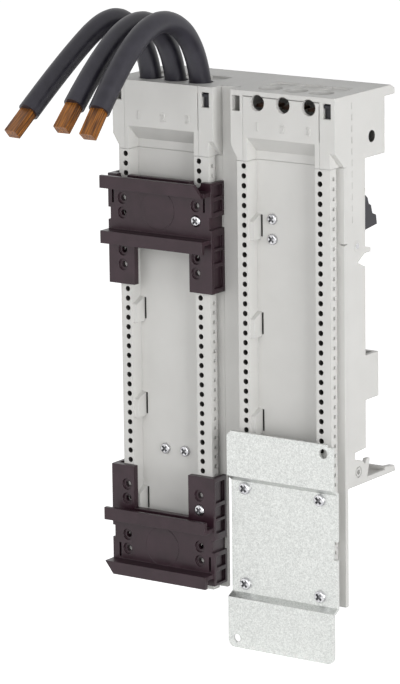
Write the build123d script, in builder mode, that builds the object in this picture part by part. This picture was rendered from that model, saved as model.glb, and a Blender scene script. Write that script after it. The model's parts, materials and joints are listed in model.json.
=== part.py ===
from build123d import *
import math
import os

os.makedirs("parts", exist_ok=True)

# Two busbar adapters for a 60 mm busbar system, joined side by side by a spacer.
# X runs across the pair, Y from the front to the busbars, Z up.
# The origin is the middle of the upper busbar seat, on the plane the bars rest on.
# Everything is in millimetres.

# Busbar system
bar_pitch = 60.0
bar_height = 30.0
bar_heights_z = (0.0, -bar_pitch, -2 * bar_pitch)
hook_clearance = 3.0

# Adapter outline
adapter_width = 62.6
spacer_gap = 9.4
adapter_pitch = adapter_width + spacer_gap
half_width = adapter_width / 2
body_top = 51.5
body_bottom = -208.5
front_y = -27.5
floor_y = -19.2
base_thickness = 2.5
housing_front_y = floor_y + base_thickness
wall = 2.0
adapter_centres = {"left": -adapter_pitch / 2, "right": adapter_pitch / 2}

# Rear of the housing, from the side
block_rear_y = 18.5
block_floor_z = bar_height / 2 + hook_clearance
flange_rear_y = 28.0
flange_thickness = 5.0
roof_z = 49.0
shelf_rear_y = 12.0
shelf_top_z = -82.0
shelf_bottom_z = -2 * bar_pitch + bar_height / 2
shelf_pocket_depth = 9.0
wall_end_z = -2 * bar_pitch - 9.6
foot_slot_y = -10.2
foot_rim_z = wall_end_z - 4.1
foot_nose_y = 3.4
foot_nose_z = -2 * bar_pitch - bar_height / 2 - 0.3
foot_rear_y = 20.0
foot_top_z = foot_rim_z - 9.8
foot_side_z = foot_top_z - 1.3
foot_bottom_z = foot_top_z - 4.0
foot_floor = 1.8
prong_rear_y = 28.0
prong_width = 3.0
roof_bays = ((-22.0, -8.2), (-6.0, 7.3), (9.5, 22.0))
roof_bay_y = (-7.6, 4.6)
roof_bay_depth = 1.2

# Hole strips of the front carrier
hole_pitch = 5.0
hole_count = 44
hole_radius = 1.4
hole_depth = 7.0
first_hole_z = 13.5
hole_sides = 12
device_rows = {"left": (15, 29), "right": (2, 22)}
column_x = 22.5
strip_top = 15.9
left_strip = (4.7 - half_width, 2.0 - column_x)
right_strip = (column_x - 3.0, half_width - 2.9)
strip_head = 5.4
strip_undercut = 1.8
side_hole_size = 1.8
side_hole_depth = 1.2
side_hole_y = -24.3
snap_tops = (-11.5, -61.5, -111.5, -161.5)
snap_height = 12.8
snap_reach = 2.5
ledge_slit_z = -22.6

# Terminal cover and the columns beside it
cover_left = 8.5 - half_width
cover_right = half_width - 9.0
cover_wall = 2.4
cover_leg = 2.3
lip_z = 48.8
cover_tops = {"left": body_top, "right": lip_z}
channel_top = 28.0
channel_slope_end = 20.4
column_left = 1.1 - half_width
seam = 0.12
window_low = 40.9
window_high = 48.6
window_right = (half_width - 6.9, half_width - 2.3)
window_left = (2.1 - half_width, 6.7 - half_width)
window_wall = 2.0
gusset_top = 24.0
phase_x = (-14.2, 0.9, 16.0)
outlet_radius = 4.1
outlet_z = 45.8

# Busbar latch and the slider that releases it
pivot_y = -7.3
pivot_z = -25.1
pin_radius = 1.5
pin_hole_radius = 1.55
hub_bore_radius = 1.58
hub_radius = 4.2
blade_x = (half_width - 4.8, half_width - 2.3)
arm_x = (half_width - 6.9, half_width - 5.1)
blade_gap = 0.3
push_bar_y = (-16.3, -13.3)
push_bar_end_z = -24.0
arm_length = 8.5
arm_offset = 0.4
latch_slot_z = (-33.5, 6.3)
rib_x = (half_width - 9.7, half_width - 7.9)

# Contacts
contact_width = 7.0
contact_height = 14.0
contact_reach = 2.0
contact_flange = 1.6
contact_lip = 0.9
contact_gap = 0.25

# Copper inside and the cables on the left adapter
strap_thickness = 1.5
strap_width = 7.0
pad_half = 5.0
pad_y = (-20.5, -10.5)
cable_radius = 5.5
cable_hole_radius = 6.3
cable_y = -15.4
cable_start_z = 44.0
conductor_width = 7.4
conductor_height = 5.2
conductor_length = 15.0

# Rail supports for a 35 mm rail
rail_height = 35.0
rail_depth = 8.0
rail_lip = 6.5
rail_wall = 2.2
support_thickness = 3.5
support_left = -half_width - 0.1
support_right = half_width + 0.7
support_web = 34.5
support_length = 56.6
support_side = 2.1
support_side_depth = 11.6
support_legs = ((support_left, -15.7), (18.2, support_right))
support_lip_left = -half_width + 0.3
support_lip_right = half_width + 0.3
support_holes = (12.2, 19.8, 39.0, 46.6)
support_cells = ((1.2, 7.3), (9.4, 15.1), (27.4, 33.6), (35.1, 41.3), (43.4, support_length - 2.4))
support_notch = (17.5, 23.8)
support_slots = (support_left + 2.9, support_right - 4.5)
support_slot_size = (1.3, 7.6)
support_slot_middle = 11.2
support_arch = 3.4
cell_y = (-29.0, -21.0)
cell_depth = 1.4
notch_depth = 1.4
lip_slant = 5.0
support_bore = 1.6
support_counterbore = 3.0
counterbore_depth = 1.0
support_front_y = front_y - support_thickness
support_tops = {"upper": (3.3, 1, 1), "lower": (-205.5, -1, 2)}

# Mounting plate
plate_thickness = 1.5
plate_left = adapter_pitch / 2 - half_width + 0.3
plate_right = adapter_pitch / 2 + half_width + 1.3
plate_step = 4.0
plate_top = -121.5
plate_bottom = -235.0
upper_joggle = (-145.0, -148.0)
lower_joggle = (-206.4, -208.6)
plate_corner = 4.0
plate_upper_hole = (plate_right - 5.6, plate_top - 4.8)
plate_upper_radius = 2.5
plate_lower_hole = (plate_left + 5.1, plate_bottom + 5.0)
plate_lower_radius = 2.1
plate_screw_rows = (33, 43)
plate_hole = 1.6
plate_front_y = front_y - plate_thickness

# Screws
shank_radius = 1.3
screw_end_y = -21.5
plate_head_radius = 3.15
plate_head_height = 2.0
support_head_radius = 2.8
support_head_height = 1.8
carrier_head_radius = 2.5
carrier_head_height = 1.6
carrier_screws = ((-5.9, -140.0), (6.3, -140.0), (-10.9, -13.5), (-10.9, -23.8))
carrier_screw_end_y = -11.5
boss_radius = 3.2

# Dowels that join the two adapters through the spacer
dowel_radius = 2.9
dowel_hole_radius = 3.0
dowel_half_length = 8.0
dowels = ((6.4, 28.2), (-6.9, foot_rim_z - 7.0))
blank_groove = (2.9, 2.2)
blank_groove_depth = 0.6
blank_hole_radius = 1.3
spacer_half = adapter_pitch / 2 - half_width - 0.1
spacer_front_y = -19.3
spacer_web = 1.0

# Outline of the housing behind the carrier, seen from the side
side_profile = (
    (housing_front_y, foot_bottom_z),
    (housing_front_y, body_top),
    (flange_rear_y - 3.5, body_top),
    (flange_rear_y, body_top - 2.0),
    (flange_rear_y, body_top - flange_thickness),
    (block_rear_y, body_top - flange_thickness),
    (block_rear_y, block_floor_z),
    (0, block_floor_z),
    (0, shelf_top_z),
    (shelf_rear_y, shelf_top_z),
    (shelf_rear_y, shelf_bottom_z),
    (0, shelf_bottom_z),
    (0, wall_end_z),
    (foot_slot_y, wall_end_z - 0.6),
    (foot_slot_y, foot_rim_z),
    (foot_nose_y - 6.8, foot_nose_z - 0.2),
    (foot_nose_y - 4.4, foot_nose_z - 2.4),
    (foot_nose_y - 2.8, foot_nose_z),
    (foot_nose_y, foot_nose_z - 0.1),
    (foot_nose_y, foot_nose_z - 1.4),
    (foot_nose_y - 2.2, foot_side_z),
    (foot_rear_y - wall, foot_side_z),
    (foot_rear_y - wall, foot_top_z),
    (foot_rear_y, foot_top_z),
    (foot_rear_y, foot_bottom_z),
)


for side, centre in adapter_centres.items():
    cover_top = cover_tops[side]

    # Rear housing: an open box behind the carrier, with the block over the upper bar,
    # the shelf over the lower bar and the foot below it
    with BuildPart() as rear_housing:
        with BuildSketch(Plane.YZ.offset(centre - half_width)):
            with BuildLine():
                Polyline(*side_profile, close=True)
            make_face()
        extrude(amount=adapter_width)
        # the columns and the lip that frame the terminal cover
        with BuildSketch(Plane.XZ.offset(-housing_front_y)):
            with BuildLine():
                Polyline(
                    (centre + half_width, strip_top + seam),
                    (centre + half_width, body_top),
                    (centre + column_left, body_top),
                    (centre + column_left, 23.5),
                    (centre + left_strip[0], 17.6),
                    (centre + left_strip[0], strip_top + seam),
                    (centre + cover_left - seam, strip_top + seam),
                    (centre + cover_left - seam, lip_z + seam),
                    (centre + cover_right + seam, lip_z + seam),
                    (centre + cover_right + seam, strip_top + seam),
                    close=True,
                )
            make_face()
        extrude(amount=housing_front_y - front_y)
        if cover_top == body_top:
            with BuildSketch(Plane.XZ.offset(-front_y)):
                with Locations((centre + (cover_left + cover_right) / 2, body_top)):
                    Rectangle(cover_right - cover_left + 2 * seam, 6.0)
            extrude(amount=-cover_wall - seam, mode=Mode.SUBTRACT)
        # the lower edge of the outer wall slopes back to the carrier
        with BuildSketch(Plane.YZ.offset(centre + right_strip[1])):
            with BuildLine():
                Polyline(
                    (front_y - 1, strip_top - 1),
                    (front_y - 1, gusset_top),
                    (front_y, gusset_top),
                    (floor_y + 0.2, strip_top + seam),
                    (floor_y + 0.2, strip_top - 1),
                    close=True,
                )
            make_face()
        extrude(amount=half_width - right_strip[1] + 1, mode=Mode.SUBTRACT)
        # hollow behind the carrier
        with BuildSketch(Plane.XZ.offset(-housing_front_y)):
            with Locations((centre, (strip_top - 128.0) / 2)):
                Rectangle(adapter_width - 2 * wall, strip_top + 128.0)
        extrude(amount=housing_front_y + wall, mode=Mode.SUBTRACT)
        # hollow of the block above the bars, up to the roof
        with BuildSketch(Plane.XZ.offset(-housing_front_y)):
            with Locations((centre, (strip_top + roof_z) / 2)):
                Rectangle(adapter_width - 2 * wall, roof_z - strip_top)
        extrude(amount=housing_front_y + wall, mode=Mode.SUBTRACT)
        with BuildSketch(Plane.XZ.offset(wall)):
            with Locations((centre, (block_floor_z + wall + roof_z) / 2)):
                Rectangle(adapter_width - 2 * wall, roof_z - block_floor_z - wall)
        extrude(amount=-(block_rear_y), mode=Mode.SUBTRACT)
        # hollow columns
        with BuildSketch(Plane.XZ.offset(-front_y - window_wall)):
            with Locations((centre + (window_right[0] + window_right[1]) / 2, (roof_z + 26.0) / 2)):
                Rectangle(window_right[1] - window_right[0] + 0.4, roof_z - 26.0)
            with Locations((centre + (window_left[0] + window_left[1]) / 2, (roof_z + 26.0) / 2)):
                Rectangle(window_left[1] - window_left[0] - 0.6, roof_z - 26.0)
        extrude(amount=-(housing_front_y - front_y), mode=Mode.SUBTRACT)
        # the windows in the columns
        with BuildSketch(Plane.XZ.offset(-front_y)):
            for low_x, high_x in (window_right, window_left):
                with Locations((centre + (low_x + high_x) / 2, (window_low + window_high) / 2)):
                    Rectangle(high_x - low_x, window_high - window_low)
        extrude(amount=-window_wall, mode=Mode.SUBTRACT)
        # pocket in the top of the shelf and in the foot
        with BuildSketch(Plane.XY.offset(shelf_top_z)):
            with Locations((centre, (wall / 2 + shelf_rear_y - wall) / 2)):
                Rectangle(adapter_width - 2 * wall, shelf_rear_y - wall - wall / 2)
        extrude(amount=-shelf_pocket_depth, mode=Mode.SUBTRACT)
        with BuildSketch(Plane.XY.offset(foot_bottom_z + foot_floor)):
            with Locations((centre, (-8.0 + foot_rear_y - wall) / 2)):
                Rectangle(adapter_width - 2 * wall, foot_rear_y - wall + 8.0)
        extrude(amount=14.0, mode=Mode.SUBTRACT)
        # slots for the contacts and for the latch in the rear wall
        with BuildSketch(Plane.XZ.offset(wall + 1)):
            for x, z in zip(phase_x, bar_heights_z):
                with Locations((centre + x, z)):
                    Rectangle(contact_width + 2 * contact_gap, contact_height + 2 * contact_gap)
            with Locations((centre + (blade_x[0] + blade_x[1]) / 2, (latch_slot_z[0] + latch_slot_z[1]) / 2)):
                Rectangle(blade_x[1] - blade_x[0] + 2 * blade_gap, latch_slot_z[1] - latch_slot_z[0])
        extrude(amount=-(wall + 2), mode=Mode.SUBTRACT)
        # notch and spur in the outer wall beside the latch
        with BuildSketch(Plane.YZ.offset(centre + blade_x[0] - blade_gap)):
            with BuildLine():
                Polyline((1, -29.6), (0, -29.6), (-7.0, -33.5), (-0.5, -36.4), (1, -36.4), close=True)
            make_face()
        extrude(amount=half_width - blade_x[0] + 1, mode=Mode.SUBTRACT)
        with BuildSketch(Plane.YZ.offset(centre + half_width - wall)):
            with BuildLine():
                Polyline((-1, -26.4), (0, -26.4), (5.0, -27.6), (5.0, -29.8), (-1, -29.8), close=True)
            make_face()
        extrude(amount=wall)
        # prong at the outer end of the foot
        with BuildSketch(Plane.YZ.offset(centre + half_width - prong_width)):
            with BuildLine():
                Polyline(
                    (foot_rear_y - 1, foot_bottom_z),
                    (foot_rear_y - 1, foot_top_z),
                    (prong_rear_y - 0.9, foot_top_z - 0.9),
                    (prong_rear_y, foot_bottom_z),
                    close=True,
                )
            make_face()
        extrude(amount=prong_width)
        # rib that carries the inner end of the latch pin
        with BuildSketch(Plane.YZ.offset(centre + rib_x[0])):
            with Locations((-7.9, pivot_z)):
                Rectangle(12.2, 14.0)
        extrude(amount=rib_x[1] - rib_x[0])
        with BuildSketch(Plane.YZ.offset(centre + rib_x[0] - 1)):
            with Locations((pivot_y, pivot_z)):
                Circle(pin_hole_radius)
        extrude(amount=half_width, mode=Mode.SUBTRACT)
        # carrier screw bosses and pilots
        with BuildSketch(Plane.XZ.offset(-housing_front_y)):
            for x, z in carrier_screws[2:]:
                with Locations((centre + x, z)):
                    Circle(boss_radius)
        extrude(amount=housing_front_y + wall / 2)
        with BuildSketch(Plane.XZ.offset(-housing_front_y)):
            for x, z in carrier_screws:
                with Locations((centre + x, z)):
                    Circle(hole_radius)
        extrude(amount=housing_front_y - carrier_screw_end_y - 0.5, mode=Mode.SUBTRACT)
        # upper dowel hole in both side walls, lower one towards the spacer alone
        with BuildSketch(Plane.YZ.offset(centre - half_width - 1)):
            with Locations(dowels[0]):
                Circle(dowel_hole_radius)
        extrude(amount=adapter_width + 2, mode=Mode.SUBTRACT)
        outward = math.copysign(1, centre)
        with BuildSketch(Plane.YZ.offset(centre - outward * (half_width + 1))):
            with Locations(dowels[1]):
                Circle(dowel_hole_radius)
        extrude(amount=outward * (dowel_half_length - spacer_gap / 2 + 1.5), mode=Mode.SUBTRACT)
        # where the lower one is left blank, a round groove and a small hole
        with BuildSketch(Plane.YZ.offset(centre + outward * half_width)):
            with Locations(dowels[1]):
                Circle(blank_groove[0])
                Circle(blank_groove[1], mode=Mode.SUBTRACT)
        extrude(amount=-outward * blank_groove_depth, mode=Mode.SUBTRACT)
        with BuildSketch(Plane.YZ.offset(centre + outward * half_width)):
            with Locations(dowels[1]):
                Circle(blank_hole_radius)
        extrude(amount=-outward * (wall + 1), mode=Mode.SUBTRACT)
        # shallow bays in the roof behind the cable holes, with a rib between each two
        with BuildSketch(Plane.XY.offset(body_top)):
            for low_x, high_x in roof_bays:
                with Locations((centre + (low_x + high_x) / 2, (roof_bay_y[0] + roof_bay_y[1]) / 2)):
                    Rectangle(high_x - low_x, roof_bay_y[1] - roof_bay_y[0])
        extrude(amount=-roof_bay_depth, mode=Mode.SUBTRACT)
        # cable holes in the roof, and the outlets' upper edge in the lip
        with BuildSketch(Plane.XY.offset(body_top + 1)):
            for x in phase_x:
                with Locations((centre + x, cable_y)):
                    Circle(cable_hole_radius)
        extrude(amount=-6.0, mode=Mode.SUBTRACT)
        if cover_top < body_top:
            with BuildSketch(Plane.XZ.offset(-front_y)):
                for x in phase_x:
                    with Locations((centre + x, outlet_z)):
                        Circle(outlet_radius)
            extrude(amount=-8.0, mode=Mode.SUBTRACT)
    rear_housing.part.label = side + "_rear_housing"
    export_step(rear_housing.part, "parts/" + side + "_rear_housing.step")

    # Front carrier: the tray with the two hole strips
    with BuildPart() as front_carrier:
        with BuildSketch(Plane.XZ.offset(-housing_front_y)):
            with Locations((centre, (body_bottom + strip_top) / 2)):
                Rectangle(adapter_width, strip_top - body_bottom)
        extrude(amount=base_thickness)
        with BuildSketch(Plane.XZ.offset(-floor_y)):
            for low_x, high_x, inset_left, inset_right in (
                (left_strip[0], left_strip[1], strip_undercut, 0),
                (right_strip[0], right_strip[1], 0, strip_undercut),
            ):
                middle = (low_x + inset_left + high_x - inset_right) / 2
                with Locations((centre + middle, (body_bottom + strip_top) / 2)):
                    Rectangle(high_x - low_x - inset_left - inset_right, strip_top - body_bottom)
        extrude(amount=floor_y - front_y - strip_head)
        with BuildSketch(Plane.XZ.offset(-front_y - strip_head)):
            for low_x, high_x in (left_strip, right_strip):
                with Locations((centre + (low_x + high_x) / 2, (body_bottom + strip_top) / 2)):
                    Rectangle(high_x - low_x, strip_top - body_bottom)
        extrude(amount=strip_head)
        # snap tabs on the channel wall
        with BuildSketch(Plane.YZ.offset(centre + left_strip[1])):
            for top_z in snap_tops:
                with BuildLine():
                    Polyline(
                        (floor_y, top_z - snap_height),
                        (-26.0, top_z - snap_height),
                        (-26.0, top_z - 3.0),
                        (floor_y, top_z),
                        close=True,
                    )
                make_face()
        extrude(amount=snap_reach)
        # screw holes: round where a device is mounted, and of twelve sides elsewhere
        with BuildSketch(Plane.XZ.offset(-front_y)):
            for row in range(hole_count):
                with Locations(
                    (centre - column_x, first_hole_z - row * hole_pitch),
                    (centre + column_x, first_hole_z - row * hole_pitch),
                ):
                    if row in device_rows[side]:
                        Circle(hole_radius)
                    else:
                        RegularPolygon(hole_radius, hole_sides)
        extrude(amount=-hole_depth, mode=Mode.SUBTRACT)
        # sockets in the outer side of the right strip
        with BuildSketch(Plane.YZ.offset(centre + right_strip[1] - side_hole_depth)):
            for row in range(hole_count):
                with Locations((side_hole_y, first_hole_z - hole_pitch / 2 - row * hole_pitch)):
                    Rectangle(side_hole_size, side_hole_size)
        extrude(amount=side_hole_depth, mode=Mode.SUBTRACT)
        # clearance holes for the carrier screws, and the slit in the ledge
        with BuildSketch(Plane.XZ.offset(-floor_y)):
            for x, z in carrier_screws:
                with Locations((centre + x, z)):
                    Circle(hole_radius)
            with Locations((centre + half_width - 1.4, ledge_slit_z)):
                Rectangle(2.8, 0.6)
        extrude(amount=-base_thickness, mode=Mode.SUBTRACT)
    front_carrier.part.label = side + "_front_carrier"
    export_step(front_carrier.part, "parts/" + side + "_front_carrier.step")

    # Terminal cover: front plate, sloped top of the channel and a leg on each side
    with BuildPart() as terminal_cover:
        with BuildSketch(Plane.YZ.offset(centre + cover_left)):
            with BuildLine():
                Polyline(
                    (front_y, cover_top),
                    (front_y, channel_top),
                    (floor_y, channel_slope_end),
                    (floor_y, strip_top + seam),
                    (housing_front_y - 0.4, strip_top + seam),
                    (housing_front_y - 0.4, channel_slope_end + 0.8),
                    (front_y + cover_wall, channel_top + 1.4),
                    (front_y + cover_wall, cover_top),
                    close=True,
                )
            make_face()
        extrude(amount=cover_right - cover_left)
        with BuildSketch(Plane.YZ.offset(centre + cover_left)):
            with Locations(((front_y + floor_y) / 2, (strip_top + seam + channel_top + 1) / 2)):
                Rectangle(floor_y - front_y, channel_top + 1 - strip_top - seam)
        extrude(amount=cover_leg)
        with BuildSketch(Plane.YZ.offset(centre + cover_right - 2.8)):
            with Locations(((front_y + floor_y) / 2, (strip_top + seam + channel_top + 1) / 2)):
                Rectangle(floor_y - front_y, channel_top + 1 - strip_top - seam)
        extrude(amount=2.8)
        if cover_top < body_top:
            with BuildSketch(Plane.XZ.offset(-front_y)):
                for x in phase_x:
                    with Locations((centre + x, outlet_z)):
                        Circle(outlet_radius)
            extrude(amount=-cover_wall, mode=Mode.SUBTRACT)
    terminal_cover.part.label = side + "_terminal_cover"
    export_step(terminal_cover.part, "parts/" + side + "_terminal_cover.step")

    # Release slider: the pad in the right window and the bar that pushes the latch
    with BuildPart() as release_slider:
        with BuildSketch(Plane.YZ.offset(centre + window_right[0] + 0.3)):
            with BuildLine():
                Polyline(
                    (front_y + window_wall + 0.3, 38.0),
                    (front_y + window_wall + 0.3, 46.2),
                    (front_y + 0.6, 46.2),
                    (front_y + 0.6, 47.6),
                    (front_y + window_wall + 0.3, 48.4),
                    (-13.3, 48.4),
                    (-13.3, 44.0),
                    (front_y + window_wall + 2.8, 44.0),
                    (front_y + window_wall + 2.8, 38.0),
                    close=True,
                )
            make_face()
        extrude(amount=window_right[1] - window_right[0] - 0.6)
        with BuildSketch(Plane.YZ.offset(centre + arm_x[0])):
            with Locations(((push_bar_y[0] + push_bar_y[1]) / 2, (push_bar_end_z + 46.0) / 2)):
                Rectangle(push_bar_y[1] - push_bar_y[0], 46.0 - push_bar_end_z)
        extrude(amount=arm_x[1] - arm_x[0])
    release_slider.part.label = side + "_release_slider"
    export_step(release_slider.part, "parts/" + side + "_release_slider.step")

    # Busbar latch: a stepped blade for bars of several heights, and the arm the slider pushes
    with BuildPart() as busbar_latch:
        with BuildSketch(Plane.YZ.offset(centre + blade_x[0])):
            with BuildLine():
                Polyline(
                    (-9.6, -22.4),
                    (-2.2, -5.0),
                    (3.9, 2.3),
                    (3.9, 0.5),
                    (3.4, -0.9),
                    (4.6, -1.8),
                    (6.1, -3.0),
                    (7.2, -6.1),
                    (9.2, -7.2),
                    (10.6, -11.5),
                    (13.9, -12.8),
                    (14.8, -17.6),
                    (3.9, -18.9),
                    (-4.4, -27.6),
                    close=True,
                )
            make_face()
            with Locations((pivot_y, pivot_z)):
                Circle(hub_radius)
        extrude(amount=blade_x[1] - blade_x[0])
        with BuildSketch(Plane.YZ.offset(centre + arm_x[0])):
            with Locations((pivot_y, pivot_z)):
                Circle(hub_radius)
            with BuildLine():
                Polyline(
                    (pivot_y, pivot_z + arm_offset),
                    (pivot_y - arm_length, pivot_z + arm_offset),
                    (pivot_y - arm_length, pivot_z - 2.0),
                    (pivot_y, pivot_z - hub_radius),
                    close=True,
                )
            make_face()
        extrude(amount=blade_x[0] - arm_x[0])
        with BuildSketch(Plane.YZ.offset(centre + arm_x[0])):
            with Locations((pivot_y, pivot_z)):
                Circle(hub_bore_radius)
        extrude(amount=blade_x[1] - arm_x[0], mode=Mode.SUBTRACT)
    busbar_latch.part.label = side + "_busbar_latch"
    export_step(busbar_latch.part, "parts/" + side + "_busbar_latch.step")

    with BuildPart() as latch_pin:
        with BuildSketch(Plane.YZ.offset(centre + rib_x[0])):
            with Locations((pivot_y, pivot_z)):
                Circle(pin_radius)
        extrude(amount=half_width - rib_x[0])
    latch_pin.part.label = side + "_latch_pin"
    export_step(latch_pin.part, "parts/" + side + "_latch_pin.step")

    # Contacts: the nose passes the rear wall, the lip stays inside
    for name, x, z in zip(("upper", "middle", "lower"), phase_x, bar_heights_z):
        with BuildPart() as contact:
            with BuildSketch(Plane.XZ.offset(-contact_reach)):
                with Locations((centre + x, z)):
                    Rectangle(contact_width, contact_height)
            extrude(amount=contact_reach + wall + contact_gap)
            with BuildSketch(Plane.XZ.offset(wall + contact_gap)):
                with Locations((centre + x, z)):
                    Rectangle(contact_width + 2 * contact_lip, contact_height + 2 * contact_lip)
            extrude(amount=contact_flange)
            chamfer(contact.faces().sort_by(Axis.Y)[-1].edges(), length=0.8)
        contact.part.label = side + "_contact_" + name
        export_step(contact.part, "parts/" + side + "_contact_" + name + ".step")

    # Phase straps: copper bars behind the carrier, each with a pad below the cable holes
    with BuildPart() as phase_straps:
        for x, z in zip(phase_x, bar_heights_z):
            with BuildSketch(Plane.XZ.offset(-housing_front_y)):
                with Locations((centre + x, (z - strap_width + cable_start_z - strap_thickness) / 2)):
                    Rectangle(strap_width, cable_start_z - strap_thickness - z + strap_width)
            extrude(amount=-strap_thickness)
            with BuildSketch(Plane.XY.offset(cable_start_z)):
                with Locations((centre + x, (pad_y[0] + pad_y[1]) / 2)):
                    Rectangle(2 * pad_half, pad_y[1] - pad_y[0])
            extrude(amount=-strap_thickness)
    phase_straps.part.label = side + "_phase_straps"
    export_step(phase_straps.part, "parts/" + side + "_phase_straps.step")

    with BuildPart() as carrier_screw_set:
        for x, z in carrier_screws:
            with BuildSketch(Plane.XZ.offset(-floor_y)):
                with Locations((centre + x, z)):
                    Circle(carrier_head_radius)
            extrude(amount=carrier_head_height)
            with BuildSketch(Plane.XZ.offset(-floor_y)):
                with Locations((centre + x, z)):
                    Circle(shank_radius)
            extrude(amount=floor_y - carrier_screw_end_y)
    carrier_screw_set.part.label = side + "_carrier_screws"
    export_step(carrier_screw_set.part, "parts/" + side + "_carrier_screws.step")

# Spacer between the adapters, pocketed from both sides
with BuildPart() as side_spacer:
    with BuildSketch(Plane.YZ.offset(-spacer_half)) as spacer_outline:
        with BuildLine():
            Polyline(
                (spacer_front_y, foot_bottom_z),
                (spacer_front_y, body_top),
                *side_profile[2:],
                close=True,
            )
        make_face()
    extrude(amount=2 * spacer_half)
    with BuildSketch(Plane.YZ.offset(spacer_web)):
        with BuildLine():
            Polyline(
                (spacer_front_y, foot_bottom_z),
                (spacer_front_y, body_top),
                *side_profile[2:],
                close=True,
            )
        make_face()
        offset(amount=-wall, mode=Mode.REPLACE)
        with Locations(*dowels):
            Circle(dowel_hole_radius + 1.6, mode=Mode.SUBTRACT)
    extrude(amount=spacer_half - spacer_web, mode=Mode.SUBTRACT)
    with BuildSketch(Plane.YZ.offset(-spacer_web)):
        with BuildLine():
            Polyline(
                (spacer_front_y, foot_bottom_z),
                (spacer_front_y, body_top),
                *side_profile[2:],
                close=True,
            )
        make_face()
        offset(amount=-wall, mode=Mode.REPLACE)
        with Locations(*dowels):
            Circle(dowel_hole_radius + 1.6, mode=Mode.SUBTRACT)
    extrude(amount=-(spacer_half - spacer_web), mode=Mode.SUBTRACT)
    with BuildSketch(Plane.YZ.offset(-spacer_half)):
        with Locations(*dowels):
            Circle(dowel_hole_radius)
    extrude(amount=2 * spacer_half, mode=Mode.SUBTRACT)
side_spacer.part.label = "side_spacer"
export_step(side_spacer.part, "parts/side_spacer.step")

with BuildPart() as coupling_dowels:
    with BuildSketch(Plane.YZ.offset(-dowel_half_length)):
        with Locations(*dowels):
            Circle(dowel_radius)
    extrude(amount=2 * dowel_half_length)
coupling_dowels.part.label = "coupling_dowels"
export_step(coupling_dowels.part, "parts/coupling_dowels.step")

# Rail supports on the left adapter: the lower one is the same part turned by half a turn
centre = adapter_centres["left"]
for name, (top_z, turn, screw_row) in support_tops.items():
    with BuildPart() as rail_support:
        with BuildSketch(Plane.XZ.offset(-front_y)):
            with Locations((centre + turn * (support_left + support_right) / 2, top_z - turn * support_web / 2)):
                Rectangle(support_right - support_left, support_web)
            for low_x, high_x in support_legs:
                with Locations((centre + turn * (low_x + high_x) / 2, top_z - turn * (support_web + support_length) / 2)):
                    Rectangle(high_x - low_x, support_length - support_web)
            # arches over the holes of the strips
            for x in (-column_x, column_x):
                with Locations((centre + x, top_z)):
                    Circle(support_arch, mode=Mode.SUBTRACT)
        extrude(amount=support_thickness)
        # side walls with open cells
        with BuildSketch(Plane.XZ.offset(-support_front_y)):
            for middle in (support_left + support_side / 2, support_right - support_side / 2):
                with Locations((centre + turn * middle, top_z - turn * support_length / 2)):
                    Rectangle(support_side, support_length)
        extrude(amount=-support_side_depth)
        for outer in (support_left, support_right):
            inward = -turn * math.copysign(1, outer)
            with BuildSketch(Plane.YZ.offset(centre + turn * outer)):
                for low_s, high_s in support_cells:
                    with Locations(((cell_y[0] + cell_y[1]) / 2, top_z - turn * (low_s + high_s) / 2)):
                        Rectangle(cell_y[1] - cell_y[0], high_s - low_s)
            extrude(amount=inward * cell_depth, mode=Mode.SUBTRACT)
            with BuildSketch(Plane.YZ.offset(centre + turn * outer)):
                with Locations((support_front_y, top_z - turn * (support_notch[0] + support_notch[1]) / 2)):
                    Rectangle(3 * support_side_depth, support_notch[1] - support_notch[0])
            extrude(amount=inward * notch_depth, mode=Mode.SUBTRACT)
        with BuildSketch(Plane.XZ.offset(-support_front_y)):
            for x in support_slots:
                with Locations((centre + turn * x, top_z - turn * support_slot_middle)):
                    Rectangle(*support_slot_size)
        extrude(amount=-support_thickness, mode=Mode.SUBTRACT)
        # the two lips that hold the rail
        lip_middle = (support_lip_left + support_lip_right) / 2
        for wall_s, flange_s in ((rail_lip - rail_wall / 2, rail_lip / 2),
                                 (rail_height - rail_lip + rail_wall / 2, rail_height - rail_lip / 2)):
            with BuildSketch(Plane.XZ.offset(-support_front_y)):
                with Locations((centre + turn * lip_middle, top_z - turn * wall_s)):
                    Rectangle(support_lip_right - support_lip_left, rail_wall)
            extrude(amount=rail_depth)
            with BuildSketch(Plane.XZ.offset(-support_front_y + rail_depth - rail_wall)):
                with Locations((centre + turn * lip_middle, top_z - turn * flange_s)):
                    Rectangle(support_lip_right - support_lip_left, rail_lip)
            extrude(amount=rail_wall)
        # the outer lip ends in a slant on one side
        with BuildSketch(Plane.XZ.offset(-support_front_y + rail_depth - rail_wall)):
            with BuildLine():
                Polyline(
                    (centre + turn * (support_lip_right - lip_slant), top_z),
                    (centre + turn * support_lip_right, top_z - turn * rail_lip),
                    (centre + turn * (support_lip_right + 1), top_z),
                    close=True,
                )
            make_face()
        extrude(amount=rail_wall, mode=Mode.SUBTRACT)
        # counterbored screw holes
        with BuildSketch(Plane.XZ.offset(-support_front_y)):
            for s in support_holes:
                with Locations((centre - column_x, top_z - turn * s), (centre + column_x, top_z - turn * s)):
                    Circle(support_counterbore)
        extrude(amount=-counterbore_depth, mode=Mode.SUBTRACT)
        with BuildSketch(Plane.XZ.offset(-support_front_y)):
            for s in support_holes:
                with Locations((centre - column_x, top_z - turn * s), (centre + column_x, top_z - turn * s)):
                    Circle(support_bore)
        extrude(amount=-support_thickness, mode=Mode.SUBTRACT)
    rail_support.part.label = name + "_rail_support"
    export_step(rail_support.part, "parts/" + name + "_rail_support.step")

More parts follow.
